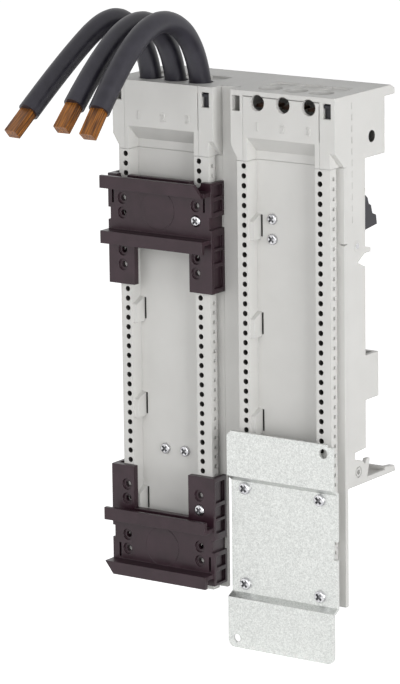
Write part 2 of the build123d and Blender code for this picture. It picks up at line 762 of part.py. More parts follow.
with BuildPart() as rail_support_screws:
    for top_z, turn, screw_row in support_tops.values():
        with BuildSketch(Plane.XZ.offset(-support_front_y - counterbore_depth)):
            with Locations((centre + column_x, top_z - turn * support_holes[screw_row])):
                Circle(support_head_radius)
        extrude(amount=support_head_height)
        with BuildSketch(Plane.XZ.offset(-support_front_y - counterbore_depth)):
            with Locations((centre + column_x, top_z - turn * support_holes[screw_row])):
                Circle(shank_radius)
        extrude(amount=-(screw_end_y - support_front_y - counterbore_depth))
rail_support_screws.part.label = "rail_support_screws"
export_step(rail_support_screws.part, "parts/rail_support_screws.step")

# Mounting plate on the right adapter: folded sheet with a step above and below
with BuildPart() as mounting_plate:
    with BuildSketch(Plane.YZ.offset(plate_left)):
        with BuildLine():
            Polyline(
                (plate_front_y - plate_step, plate_top),
                (plate_front_y - plate_step, upper_joggle[0]),
                (plate_front_y, upper_joggle[1]),
                (plate_front_y, lower_joggle[0]),
                (plate_front_y - plate_step, lower_joggle[1]),
                (plate_front_y - plate_step, plate_bottom),
                (front_y - plate_step, plate_bottom),
                (front_y - plate_step, lower_joggle[1] - 0.9),
                (front_y, lower_joggle[0] - 0.9),
                (front_y, upper_joggle[1] + 0.75),
                (front_y - plate_step, upper_joggle[0] + 0.75),
                (front_y - plate_step, plate_top),
                close=True,
            )
        make_face()
    extrude(amount=plate_right - plate_left)
    lower_corners = mounting_plate.edges().filter_by(Axis.Y).group_by(Axis.Z)[0]
    fillet(lower_corners, radius=plate_corner)
    with BuildSketch(Plane.XZ.offset(-front_y + 10)):
        for row in plate_screw_rows:
            for x in (-column_x, column_x):
                with Locations((adapter_centres["right"] + x, first_hole_z - row * hole_pitch)):
                    Circle(plate_hole)
        with Locations(plate_upper_hole):
            Circle(plate_upper_radius)
        with Locations(plate_lower_hole):
            Circle(plate_lower_radius)
        with Locations((plate_right, -176.7)):
            Rectangle(5.0, 9.5)
        with Locations((plate_right, plate_top)):
            Rectangle(7.2, 2.4)
        with BuildLine():
            Polyline(
                (plate_left - 1, plate_top + 1),
                (plate_left - 1, plate_top - 2.5),
                (plate_left, plate_top - 2.5),
                (plate_left + 2.5, plate_top),
                (plate_left + 2.5, plate_top + 1),
                close=True,
            )
        make_face()
    extrude(amount=-20, mode=Mode.SUBTRACT)
mounting_plate.part.label = "mounting_plate"
export_step(mounting_plate.part, "parts/mounting_plate.step")

with BuildPart() as plate_screws:
    for row in plate_screw_rows:
        for x in (-column_x, column_x):
            with BuildSketch(Plane.XZ.offset(-plate_front_y)):
                with Locations((adapter_centres["right"] + x, first_hole_z - row * hole_pitch)):
                    Circle(plate_head_radius)
            extrude(amount=plate_head_height)
            with BuildSketch(Plane.XZ.offset(-plate_front_y)):
                with Locations((adapter_centres["right"] + x, first_hole_z - row * hole_pitch)):
                    Circle(shank_radius)
            extrude(amount=-(screw_end_y - plate_front_y))
plate_screws.part.label = "plate_screws"
export_step(plate_screws.part, "parts/plate_screws.step")

# Cables of the left adapter, by hand: each leaves the roof, bows over and drops forward.
# The numbers are the distance forward of the cable hole and the height.
cable_routes = {
    "1": (9.0, ((0, cable_start_z), (0, 57.0), (10.5, 77.5), (29.0, 87.3), (60.0, 67.3), (87.0, 44.8))),
    "2": (0.0, ((0, cable_start_z), (0, 57.0), (12.0, 78.0), (33.0, 87.0), (63.0, 73.3), (87.0, 50.3))),
    "3": (0.0, ((0, cable_start_z), (0, 57.0), (13.0, 80.0), (37.5, 88.5), (66.3, 73.3), (87.3, 49.0))),
}
for (number, (splay, route)), x in zip(cable_routes.items(), phase_x):
    aside = math.sin(math.radians(splay))
    ahead = math.cos(math.radians(splay))
    points = [
        Vector(adapter_centres["left"] + x - aside * out, cable_y - ahead * out, z) for out, z in route
    ]
    radii = []
    for before, corner, after in zip(points, points[1:], points[2:]):
        first_run = corner - before
        second_run = after - corner
        half_turn = math.radians(first_run.get_angle(second_run)) / 2
        shorter = min(first_run.length, second_run.length)
        radii.append(0.45 * shorter / math.tan(half_turn))
    print("cable", number, "bend radii", [round(radius, 1) for radius in radii])
    with BuildPart() as cable:
        with BuildLine() as centre_line:
            FilletPolyline(*points, radius=radii)
        with BuildSketch(Plane.XY.offset(cable_start_z)):
            with Locations((points[0].X, points[0].Y)):
                Circle(cable_radius)
        sweep()
    length = sum(edge.length for edge in centre_line.edges())
    filled = cable.part.volume / (math.pi * cable_radius ** 2 * length)
    print("cable", number, "length", round(length, 1), "volume against section by length", round(filled, 3))
    cable.part.label = "cable_" + number
    export_step(cable.part, "parts/cable_" + number + ".step")

    along = (points[-1] - points[-2]).normalized()
    with BuildPart() as conductor_end:
        with BuildSketch(Plane(origin=points[-1], x_dir=(ahead, -aside, 0), z_dir=along)):
            Rectangle(conductor_width, conductor_height)
        extrude(amount=conductor_length)
    conductor_end.part.label = "conductor_end_" + number
    export_step(conductor_end.part, "parts/conductor_end_" + number + ".step")
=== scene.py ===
import json
from math import radians

import bpy
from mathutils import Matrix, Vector

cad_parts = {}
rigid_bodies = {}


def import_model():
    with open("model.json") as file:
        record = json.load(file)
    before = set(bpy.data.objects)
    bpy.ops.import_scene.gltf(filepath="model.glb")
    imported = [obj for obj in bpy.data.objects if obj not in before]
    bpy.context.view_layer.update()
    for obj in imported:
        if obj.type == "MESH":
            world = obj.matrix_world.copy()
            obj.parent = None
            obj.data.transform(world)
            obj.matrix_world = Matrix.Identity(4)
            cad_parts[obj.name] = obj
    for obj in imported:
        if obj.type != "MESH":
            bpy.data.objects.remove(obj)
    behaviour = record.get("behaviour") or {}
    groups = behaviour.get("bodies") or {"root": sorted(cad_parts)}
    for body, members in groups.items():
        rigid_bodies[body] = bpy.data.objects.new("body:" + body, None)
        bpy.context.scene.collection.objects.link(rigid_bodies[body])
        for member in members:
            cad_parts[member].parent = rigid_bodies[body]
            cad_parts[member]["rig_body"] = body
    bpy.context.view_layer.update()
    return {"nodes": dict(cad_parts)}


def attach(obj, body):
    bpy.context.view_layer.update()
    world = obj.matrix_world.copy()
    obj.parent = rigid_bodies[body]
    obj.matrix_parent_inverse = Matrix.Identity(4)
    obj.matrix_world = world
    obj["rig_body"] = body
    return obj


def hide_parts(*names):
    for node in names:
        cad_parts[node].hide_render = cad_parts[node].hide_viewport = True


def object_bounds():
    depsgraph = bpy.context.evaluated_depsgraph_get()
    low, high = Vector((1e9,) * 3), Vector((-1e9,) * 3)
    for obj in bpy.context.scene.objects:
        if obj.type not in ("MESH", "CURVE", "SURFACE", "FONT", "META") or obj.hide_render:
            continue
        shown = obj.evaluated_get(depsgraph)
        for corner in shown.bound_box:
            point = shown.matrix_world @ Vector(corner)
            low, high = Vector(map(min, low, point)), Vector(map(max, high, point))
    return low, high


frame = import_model()
nodes = frame["nodes"]

adapterCentres = {"left": -0.036, "right": 0.036}
straightOn = 0.9  # a face looks a given way from this share of its normal on
smoothUpTo = {"moulded": radians(32), "turned": radians(35)}


# Hand tools used all through the file

def deselectEverything():
    for thing in list(bpy.context.selected_objects):
        thing.select_set(False)


def pickUp(piece):
    deselectEverything()
    piece.select_set(True)
    bpy.context.view_layer.objects.active = piece


def applyAll(piece):
    pickUp(piece)
    for modifier in list(piece.modifiers):
        bpy.ops.object.modifier_apply(modifier=modifier.name)


def placeIntoMesh(piece):  # the place goes into the mesh, the object stays at the origin
    pickUp(piece)
    bpy.ops.object.transform_apply(location=True, rotation=True, scale=True)


def joinAll(pieces, name):
    pickUp(pieces[0])
    for piece in pieces:
        piece.select_set(True)
    bpy.ops.object.join()
    bpy.context.object.name = name
    return bpy.context.object


def cutAway(piece, cutter):
    cut = piece.modifiers.new("cut", "BOOLEAN")
    cut.operation = "DIFFERENCE"
    cut.solver = "EXACT"
    cut.object = cutter
    applyAll(piece)
    bpy.data.objects.remove(cutter)


def selectFaces(piece, wanted):  # leaves edit mode on, with the wanted faces picked
    pickUp(piece)
    bpy.ops.object.mode_set(mode="EDIT")
    bpy.ops.mesh.select_mode(type="FACE")
    bpy.ops.mesh.select_all(action="DESELECT")
    bpy.ops.object.mode_set(mode="OBJECT")
    for face in piece.data.polygons:
        face.select = wanted(face)
    bpy.ops.object.mode_set(mode="EDIT")


# Finishes: the two colours that the surface wanders between, and how it feels;
# edge is the radius of the soft corners, cloud and grain are noise scales per metre

finishes = {
    "greyPlastic": {
        "colour": (0.565, 0.560, 0.542), "second": (0.600, 0.595, 0.577),
        "roughness": (0.44, 0.56), "metallic": 0.0, "cloud": 45, "grain": 1900, "bump": 0.10,
        "edge": 0.0005,
    },
    "blackPlastic": {
        "colour": (0.0185, 0.0060, 0.0105), "second": (0.0290, 0.0120, 0.0185),
        "roughness": (0.30, 0.40), "metallic": 0.0, "cloud": 140, "grain": 2300, "bump": 0.16,
        "edge": 0.0005, "gloss": 0.42,
    },
    "coolBlack": {
        "colour": (0.009, 0.0085, 0.0125), "second": (0.016, 0.015, 0.021),
        "roughness": (0.34, 0.44), "metallic": 0.0, "cloud": 140, "grain": 2300, "bump": 0.16,
        "edge": 0.0004, "gloss": 0.42,
    },
    "brightSteel": {
        "colour": (0.42, 0.42, 0.44), "second": (0.66, 0.66, 0.67),
        "roughness": (0.18, 0.32), "metallic": 1.0, "cloud": 500, "grain": 2600, "bump": 0.06,
    },
    "recessShade": {
        "colour": (0.20, 0.20, 0.21), "second": (0.32, 0.32, 0.33),
        "roughness": (0.4, 0.5), "metallic": 1.0, "cloud": 500, "grain": 2600, "bump": 0.05,
    },
    # copper painted dark for the phase straps: painted shade for the insides of the terminal
    # outlets
    "copperPaintedShade": {
        "colour": (0.035, 0.018, 0.012), "second": (0.07, 0.034, 0.02),
        "roughness": (0.5, 0.6), "metallic": 0.6, "cloud": 220, "grain": 1800, "bump": 0.06,
    },
    "holeShade": {
        "colour": (0.035, 0.033, 0.031), "second": (0.06, 0.057, 0.053),
        "roughness": (0.6, 0.7), "metallic": 0.0, "cloud": 300, "grain": 1800, "bump": 0.05,
    },
    "agedCopper": {
        "colour": (0.42, 0.19, 0.08), "second": (0.62, 0.30, 0.14),
        "roughness": (0.34, 0.5), "metallic": 1.0, "cloud": 220, "grain": 1800, "bump": 0.06,
    },
    "sheath": {
        "colour": (0.010, 0.0088, 0.015), "second": (0.019, 0.0175, 0.026),
        "roughness": (0.34, 0.46), "metallic": 0.0, "cloud": 160, "grain": 1500, "bump": 0.10,
        "gloss": 0.45,
    },
}


def startFinish(name, metallic):
    material = bpy.data.materials.new(name)
    material.use_nodes = True
    shader = material.node_tree.nodes["Principled BSDF"]
    shader.inputs["Metallic"].default_value = metallic
    return material, material.node_tree, shader


def addMix(tree, share, first, second):
    mix = tree.nodes.new("ShaderNodeMix")
    mix.data_type = "RGBA"
    mix.inputs["A"].default_value = (*first, 1)
    mix.inputs["B"].default_value = (*second, 1)
    tree.links.new(share, mix.inputs["Factor"])
    return mix.outputs["Result"]


def addRange(tree, share, low, high, fromLow=0.3, fromHigh=0.7):
    spread = tree.nodes.new("ShaderNodeMapRange")
    spread.inputs["From Min"].default_value = fromLow
    spread.inputs["From Max"].default_value = fromHigh
    spread.inputs["To Min"].default_value = low
    spread.inputs["To Max"].default_value = high
    tree.links.new(share, spread.inputs["Value"])
    return spread.outputs["Result"]


def addNoise(tree, place, scale, detail=3.0):
    noise = tree.nodes.new("ShaderNodeTexNoise")
    noise.inputs["Scale"].default_value = scale
    noise.inputs["Detail"].default_value = detail
    tree.links.new(place, noise.inputs["Vector"])
    return noise.outputs["Fac"]


def addBump(tree, shader, height, strength, distance, edge=0.0):
    bump = tree.nodes.new("ShaderNodeBump")
    if edge:  # the small radius that the mould or the shears leave, in the shading alone
        soft = tree.nodes.new("ShaderNodeBevel")
        soft.samples = 4
        soft.inputs["Radius"].default_value = edge
        tree.links.new(soft.outputs["Normal"], bump.inputs["Normal"])
    bump.inputs["Strength"].default_value = strength
    bump.inputs["Distance"].default_value = distance
    tree.links.new(height, bump.inputs["Height"])
    tree.links.new(bump.outputs["Normal"], shader.inputs["Normal"])


grainRelief = 0.00008


def makeFinish(name, look):
    material, tree, shader = startFinish(name, look["metallic"])
    shader.inputs["Specular IOR Level"].default_value = look.get("gloss", 0.5)
    place = tree.nodes.new("ShaderNodeTexCoord").outputs["Object"]
    cloud = addNoise(tree, place, look["cloud"])
    share = addRange(tree, cloud, 0, 1)
    tree.links.new(addMix(tree, share, look["colour"], look["second"]), shader.inputs["Base Color"])
    tree.links.new(addRange(tree, cloud, *look["roughness"]), shader.inputs["Roughness"])
    grain = addNoise(tree, place, look["grain"], 2.0)
    addBump(tree, shader, grain, look["bump"], grainRelief, look.get("edge", 0.0))
    return material


zincSheet = {
    "dark": (0.46, 0.472, 0.46), "light": (0.71, 0.725, 0.705), "metallic": 0.85,
    "flake": 1700, "stain": 1500, "grain": 4200, "stainDetail": 3.0, "grainDetail": 4.0,
    "flakeShare": 0.35, "spread": (0.85, 1.5),
    "roughness": (0.30, 0.50), "bump": 0.25, "relief": 0.00006, "edge": 0.0003,
}


# galvanised sheet: crystals of uneven brightness, wiped over with fine grain
def makeZincSheet(look):
    material, tree, shader = startFinish("zincSheet", look["metallic"])
    place = tree.nodes.new("ShaderNodeTexCoord").outputs["Object"]
    flakes = tree.nodes.new("ShaderNodeTexVoronoi")
    flakes.inputs["Scale"].default_value = look["flake"]
    flakes.inputs["Randomness"].default_value = 1.0
    tree.links.new(place, flakes.inputs["Vector"])
    split = tree.nodes.new("ShaderNodeSeparateColor")
    tree.links.new(flakes.outputs["Color"], split.inputs["Color"])
    grain = addNoise(tree, place, look["grain"], look["grainDetail"])
    stain = addNoise(tree, place, look["stain"], look["stainDetail"])
    total = tree.nodes.new("ShaderNodeMath")
    total.operation = "MULTIPLY_ADD"
    tree.links.new(split.outputs["Red"], total.inputs[0])
    total.inputs[1].default_value = look["flakeShare"]
    tree.links.new(grain, total.inputs[2])
    both = tree.nodes.new("ShaderNodeMath")
    both.operation = "ADD"
    tree.links.new(total.outputs["Value"], both.inputs[0])
    tree.links.new(stain, both.inputs[1])
    crystals = both.outputs["Value"]
    share = addRange(tree, crystals, 0, 1, *look["spread"])
    tree.links.new(addMix(tree, share, look["dark"], look["light"]), shader.inputs["Base Color"])
    rough = addRange(tree, crystals, *look["roughness"], *look["spread"])
    tree.links.new(rough, shader.inputs["Roughness"])
    addBump(tree, shader, crystals, look["bump"], look["relief"], look["edge"])
    return material


materials = {name: makeFinish(name, look) for name, look in finishes.items()}
materials["zincSheet"] = makeZincSheet(zincSheet)
print("finishes:", ", ".join(materials))


# Cables: each route in metres, from the pad inside the adapter to the end of the sheath

cableRadius = 0.0055
cables = {
    "1": {
        "route": [
            (-0.0502, -0.0154, 0.044),
            (-0.0502, -0.0154, 0.057),
            (-0.05184, -0.02577, 0.0775),
            (-0.05474, -0.04404, 0.0873),
            (-0.05959, -0.07466, 0.0673),
            (-0.06381, -0.10133, 0.0448),
        ],
        "length": 0.1264,
    },
    "2": {
        "route": [
            (-0.0351, -0.0154, 0.044),
            (-0.0351, -0.0154, 0.057),
            (-0.0351, -0.0274, 0.078),
            (-0.0351, -0.0484, 0.087),
            (-0.0351, -0.0784, 0.0733),
            (-0.0351, -0.1024, 0.0503),
        ],
        "length": 0.1238,
    },
    "3": {
        "route": [
            (-0.02, -0.0154, 0.044),
            (-0.02, -0.0154, 0.057),
            (-0.02, -0.0284, 0.08),
            (-0.02, -0.0529, 0.0885),
            (-0.02, -0.0817, 0.0733),
            (-0.02, -0.1027, 0.049),
        ],
        "length": 0.1271,
    },
}

for number, cable in cables.items():
    curve = bpy.data.curves.new("supply_cable_" + number, "CURVE")
    curve.dimensions = "3D"
    curve.bevel_depth = cableRadius
    curve.bevel_resolution = 8
    curve.resolution_u = 16
    curve.use_fill_caps = True
    spline = curve.splines.new("NURBS")
    spline.points.add(len(cable["route"]) - 1)
    for point, place in zip(spline.points, cable["route"]):
        point.co = (*place, 1)
    spline.order_u = 3
    spline.use_endpoint_u = True
    curve.materials.append(materials["sheath"])
    piece = bpy.data.objects.new("supply_cable_" + number, curve)
    bpy.context.scene.collection.objects.link(piece)
    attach(piece, "frame")
    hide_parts("cable_" + number)
print("cables done")


# Bare ends: strands pressed into a bar, so the pattern is drawn out along each cable's last run

strands = {
    "dark": (0.075, 0.023, 0.003), "light": (0.38, 0.133, 0.012), "thickness": 0.0007,
    "stretch": 0.05, "spread": (0.15, 0.75), "metallic": 0.35, "roughness": 0.4, "bump": 0.6,
    "relief": 0.0002,
}


def makeStrands(number, direction):
    material, tree, shader = startFinish("strandedCopper" + number, strands["metallic"])
    place = tree.nodes.new("ShaderNodeTexCoord").outputs["Object"]
    along = tree.nodes.new("ShaderNodeMapping")
    along.vector_type = "TEXTURE"  # turns the pattern so that its Z follows the strands
    along.inputs["Rotation"].default_value = direction.to_track_quat("Z", "Y").to_euler()
    tree.links.new(place, along.inputs["Vector"])
    squeeze = tree.nodes.new("ShaderNodeMapping")
    squeeze.inputs["Scale"].default_value = (1, 1, strands["stretch"])
    tree.links.new(along.outputs["Vector"], squeeze.inputs["Vector"])
    cells = tree.nodes.new("ShaderNodeTexVoronoi")
    cells.inputs["Scale"].default_value = 1 / strands["thickness"]
    tree.links.new(squeeze.outputs["Vector"], cells.inputs["Vector"])
    share = addRange(tree, cells.outputs["Distance"], 1, 0, *strands["spread"])
    colour = addMix(tree, share, strands["dark"], strands["light"])
    tree.links.new(colour, shader.inputs["Base Color"])
    shader.inputs["Roughness"].default_value = strands["roughness"]
    addBump(tree, shader, share, strands["bump"], strands["relief"])
    return material


for number, cable in cables.items():
    lastRun = Vector(cable["route"][-1]) - Vector(cable["route"][-2])
    end = nodes["conductor_end_" + number]
    end.data.materials.clear()
    end.data.materials.append(makeStrands(number, lastRun))
print("strand ends done")


# Moulded and folded pieces: a merged copy of each node, with the mould's narrow slits cut in

mouldings = {
    "rear_housing": {"finish": "greyPlastic", "slot": "light_grey_plastic", "name": "shell"},
    "front_carrier": {"finish": "greyPlastic", "slot": "light_grey_plastic", "name": "strips"},
    "terminal_cover": {"finish": "greyPlastic", "slot": "light_grey_plastic", "name": "cap"},
    "side_spacer": {"finish": "greyPlastic", "slot": "light_grey_plastic", "name": "filler"},
    "release_slider": {"finish": "coolBlack", "slot": "black_plastic", "name": "rod"},
    "busbar_latch": {"finish": "coolBlack", "slot": "black_plastic", "name": "teeth"},
    "rail_support": {"finish": "blackPlastic", "slot": "black_plastic", "name": "bracket"},
    "mounting_plate": {"finish": "zincSheet", "slot": "zinc_plate", "name": "sheet"},
}
mergeDistance = 0.000002
overshoot = 0.001  # a cutter sticks out of the face by this much

# beside the snap tabs, one below the other down the channel; x is from the adapter's middle
snapSlits = {
    "tops": (-0.0115, -0.0615, -0.1115, -0.1615), "x": -0.0180, "wide": 0.0010,
    "high": 0.0112, "drop": 0.0004, "front": -0.0200, "deep": 0.0029,
}
# down the right edge of each cover, and along the top of the right one
coverSeams = {
    "x": 0.0223, "wide": 0.00035, "front": -0.0275, "deep": 0.0013, "bottom": 0.0290,
    "tops": {"left": 0.0480, "right": 0.0470}, "lip": 0.0488, "lipGap": 0.0003,
    "lipLeft": -0.0228,
}
# shallow marks down the outer wall
wallMarks = {
    "wall": 0.0673, "deep": 0.0003, "y": -0.0122, "wide": 0.0005, "top": 0.0475,
    "long": 0.0032, "pitch": 0.0057, "count": 11,
}


def cutBox(piece, low, high, count=1, pitch=0.0):
    bpy.ops.mesh.primitive_cube_add(size=1)
    cutter = bpy.context.object
    cutter.scale = [b - a for a, b in zip(low, high)]
    cutter.location = [(a + b) / 2 for a, b in zip(low, high)]
    placeIntoMesh(cutter)
    if count > 1:
        row = cutter.modifiers.new("row", "ARRAY")
        row.count = count
        row.use_relative_offset = False
        row.use_constant_offset = True
        row.constant_offset_displace = (0, 0, -pitch)
        applyAll(cutter)
    cutAway(piece, cutter)


def cutSnapSlits(piece, centre):
    x = centre + snapSlits["x"]
    front = snapSlits["front"]
    for top in snapSlits["tops"]:
        z = top - snapSlits["drop"]
        cutBox(piece, (x, front, z - snapSlits["high"]),
               (x + snapSlits["wide"], front + snapSlits["deep"], z))


def cutCoverSeams(piece, side):
    edge = adapterCentres[side] + coverSeams["x"]
    front = coverSeams["front"] - overshoot
    back = coverSeams["front"] + coverSeams["deep"]
    cutBox(piece, (edge - coverSeams["wide"], front, coverSeams["bottom"]),
           (edge + overshoot, back, coverSeams["tops"][side]))
    if side == "right":
        lipLeft = adapterCentres[side] + coverSeams["lipLeft"]
        cutBox(piece, (lipLeft - overshoot, front, coverSeams["lip"] - coverSeams["lipGap"]),
               (edge + overshoot, back, coverSeams["lip"] + overshoot))


def cutWallMarks(piece):
    wall, y, top = wallMarks["wall"], wallMarks["y"], wallMarks["top"]
    cutBox(piece, (wall - wallMarks["deep"], y, top - wallMarks["long"]),
           (wall + overshoot, y + wallMarks["wide"], top),
           wallMarks["count"], wallMarks["pitch"])


def carve(piece, nodeName):  # while the copy is still sharp
    side = "left" if nodeName.startswith("left") else "right"
    if nodeName.endswith("terminal_cover"):
        cutCoverSeams(piece, side)
    if nodeName == "right_rear_housing":
        cutWallMarks(piece)
    if nodeName.endswith("front_carrier"):
        cutSnapSlits(piece, adapterCentres[side])


def mouldedCopy(nodeName, look):
    node = nodes[nodeName]
    piece = bpy.data.objects.new(nodeName + "_" + look["name"], node.data.copy())
    bpy.context.scene.collection.objects.link(piece)
    pickUp(piece)
    bpy.ops.object.mode_set(mode="EDIT")
    bpy.ops.mesh.select_all(action="SELECT")
    bpy.ops.mesh.remove_doubles(threshold=mergeDistance)
    bpy.ops.object.mode_set(mode="OBJECT")
    bpy.ops.mesh.customdata_custom_splitnormals_clear()
    carve(piece, nodeName)
    bpy.ops.object.shade_smooth_by_angle(angle=smoothUpTo["moulded"])
    piece.data.materials.clear()
    piece.data.materials.append(materials[look["finish"]])
    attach(piece, node["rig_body"])
    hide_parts(nodeName)
    return piece


moulded = {}
for ending, look in mouldings.items():
    for nodeName in [name for name in nodes if name.endswith(ending)]:
        moulded[nodeName] = mouldedCopy(nodeName, look)
        print("moulded", nodeName, len(moulded[nodeName].data.polygons), "faces")


# Inside the screw holes, the slits and the dowel hole the light hardly reaches

holeColumns = {
    "x": (-0.0585, -0.0135, 0.0135, 0.0585), "first": 0.0135, "pitch": 0.005, "reach": 0.00146,
    "front": -0.0270, "back": -0.0203,
}
slitShade = {"halfWidth": 0.00052, "front": -0.01918, "back": -0.01695, "below": 0.000112}
dowelHole = {"y": 0.0064, "z": 0.0282, "radius": 0.0031, "from": 0.0500, "to": 0.0672}


def insideHole(face):
    x, y, z = face.center
    if not holeColumns["front"] <= y <= holeColumns["back"]:
        return False
    step = (holeColumns["first"] - z) / holeColumns["pitch"]
    off = (step - round(step)) * holeColumns["pitch"]
    return any((x - column) ** 2 + off ** 2 < holeColumns["reach"] ** 2
               for column in holeColumns["x"])


def insideSlit(face, centre):
    x, y, z = face.center
    middle = centre + snapSlits["x"] + snapSlits["wide"] / 2
    if abs(x - middle) > slitShade["halfWidth"]:
        return False
    if not slitShade["front"] < y < slitShade["back"]:
        return False
    reach = snapSlits["drop"] + snapSlits["high"] + slitShade["below"]
    return any(top - reach < z < top for top in snapSlits["tops"])


def insideDowelHole(face):
    x, y, z = face.center
    away = ((y - dowelHole["y"]) ** 2 + (z - dowelHole["z"]) ** 2) ** 0.5
    return away < dowelHole["radius"] and dowelHole["from"] < x < dowelHole["to"]


def shadeFaces(piece, wanted):
    piece.data.materials.append(materials["holeShade"])
    shaded = [face for face in piece.data.polygons if wanted(face)]
    for face in shaded:
        face.material_index = 1
    print("shaded", len(shaded), "faces inside", piece.name)


for side, centre in adapterCentres.items():
    shadeFaces(moulded[side + "_front_carrier"],
               lambda face: insideHole(face) or insideSlit(face, centre))
shadeFaces(moulded["right_rear_housing"], insideDowelHole)


# Screws: one pan head with a cross recess for each kind, copied to each of its holes

screws = {
    "right_carrier_screws": {
        "at": [(0.0301, -0.140), (0.0423, -0.140), (0.0251, -0.0135), (0.0251, -0.0238)],
        "seat": -0.0192, "headRadius": 0.0028, "headHeight": 0.0017, "end": -0.0115,
    },
    "left_carrier_screws": {
        "at": [(-0.0419, -0.140), (-0.0297, -0.140), (-0.0469, -0.0135), (-0.0469, -0.0238)],
        "seat": -0.0192, "headRadius": 0.0028, "headHeight": 0.0017, "end": -0.0115,
    },
    "rail_support_screws": {
        "at": [(-0.0135, -0.0165), (-0.0135, -0.1665)],
        "seat": -0.0300, "headRadius": 0.0028, "headHeight": 0.0018, "end": -0.0215,
    },
    "plate_screws": {
        "at": [(0.0135, -0.1515), (0.0585, -0.1515), (0.0135, -0.2015), (0.0585, -0.2015)],
        "seat": -0.0290, "headRadius": 0.00315, "headHeight": 0.0020, "end": -0.0215,
    },
}
# shares of the head: across and slot of its diameter, shadeRadius of its radius, the rest of
# its height
recess = {"across": 0.66, "slot": 0.20, "depth": 0.8, "shadeRadius": 0.7, "shadeFrom": 0.05,
          "shadeTo": 0.97}
headRounding = 0.55  # share of the head's height
shankRadius = 0.0013


def crossCutter(look, turn):
    bpy.ops.mesh.primitive_cube_add(size=1)
    cutter = bpy.context.object
    deep = look["headHeight"] * recess["depth"]
    wide = look["headRadius"] * 2
    cutter.scale = (wide * recess["across"], deep * 2, wide * recess["slot"])
    cutter.rotation_euler = (0, radians(turn), 0)
    cutter.location = (0, -look["headHeight"], 0)
    placeIntoMesh(cutter)
    return cutter


def panScrew(look):  # stands with its seat at the origin and its head towards the front
    bpy.ops.mesh.primitive_cylinder_add(
        vertices=32, radius=look["headRadius"], depth=look["headHeight"],
        rotation=(radians(90), 0, 0), location=(0, -look["headHeight"] / 2, 0),
    )
    screw = bpy.context.object
    placeIntoMesh(screw)
    selectFaces(screw, lambda face: face.normal.y > straightOn)
    bpy.ops.mesh.inset(thickness=look["headRadius"] - shankRadius)
    shank = (0, look["end"] - look["seat"], 0)
    bpy.ops.mesh.extrude_region_move(TRANSFORM_OT_translate={"value": shank})
    bpy.ops.object.mode_set(mode="OBJECT")
    crown = -look["headHeight"] * 0.9  # the top face lies beyond this
    selectFaces(screw, lambda face: face.normal.y < -straightOn and face.center.y < crown)
    bpy.ops.mesh.bevel(offset=look["headHeight"] * headRounding, segments=4, affect="EDGES")
    bpy.ops.object.mode_set(mode="OBJECT")
    for turn in (45, 135):
        cutAway(screw, crossCutter(look, turn))
    pickUp(screw)
    bpy.ops.object.shade_smooth_by_angle(angle=smoothUpTo["turned"])
    screw.data.materials.append(materials["brightSteel"])
    screw.data.materials.append(materials["recessShade"])
    for face in screw.data.polygons:
        radial = (face.center.x ** 2 + face.center.z ** 2) ** 0.5 / look["headRadius"]
        height = -face.center.y / look["headHeight"]
        if radial < recess["shadeRadius"] and recess["shadeFrom"] < height < recess["shadeTo"]:
            face.material_index = 1
    return screw


for nodeName, look in screws.items():
    model = panScrew(look)
    copies = []
    for x, z in look["at"]:
        copy = bpy.data.objects.new("screw", model.data.copy())
        bpy.context.scene.collection.objects.link(copy)
        copy.location = (x, look["seat"], z)
        placeIntoMesh(copy)
        copies.append(copy)
    bpy.data.objects.remove(model)
    group = joinAll(copies, nodeName + "_crossed")
    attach(group, "frame")
    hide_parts(nodeName)
    print("screws", nodeName, len(copies))


# Phase numbers, raised on both covers

phaseMarks = {
    "height": 0.0062, "relief": 0.0003, "front": -0.0275, "z": 0.0318, "boldness": 0.00012,
    "x": (-0.0142, 0.0009, 0.0160),
}
marks = []
for centre in adapterCentres.values():
    for number, x in enumerate(phaseMarks["x"], 1):
        bpy.ops.object.text_add(
            location=(centre + x, phaseMarks["front"], phaseMarks["z"]),
            rotation=(radians(90), 0, 0),
        )
        mark = bpy.context.object
        mark.data.body = str(number)
        mark.data.size = phaseMarks["height"]
        mark.data.extrude = phaseMarks["relief"]
        mark.data.offset = phaseMarks["boldness"]
        mark.data.align_x = "CENTER"
        mark.data.resolution_u = 3
        bpy.ops.object.convert(target="MESH")
        placeIntoMesh(mark)
        marks.append(mark)
phaseNumbers = joinAll(marks, "phase_numbers")
phaseNumbers.data.materials.clear()
phaseNumbers.data.materials.append(materials["greyPlastic"])
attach(phaseNumbers, "frame")
print("phase numbers done")


# Rings that the moulds leave: on both rail supports, and round the latch pin's end on the right

rings = {
    "upper_support_ring": {
        "at": (-0.0369, -0.0310, -0.0129), "radius": 0.0103, "line": 0.0005, "relief": 0.00014,
        "facing": (0, -1, 0), "finish": "blackPlastic", "slot": "black_plastic",
    },
    "lower_support_ring": {
        "at": (-0.0369, -0.0310, -0.1893), "radius": 0.0103, "line": 0.0005, "relief": 0.00014,
        "facing": (0, -1, 0), "finish": "blackPlastic", "slot": "black_plastic",
    },
    "latch_pin_ring": {
        "at": (0.0673, -0.0073, -0.0251), "radius": 0.0029, "line": 0.0004, "relief": 0.0002,
        "facing": (1, 0, 0), "finish": "greyPlastic", "slot": "light_grey_plastic",
    },
}


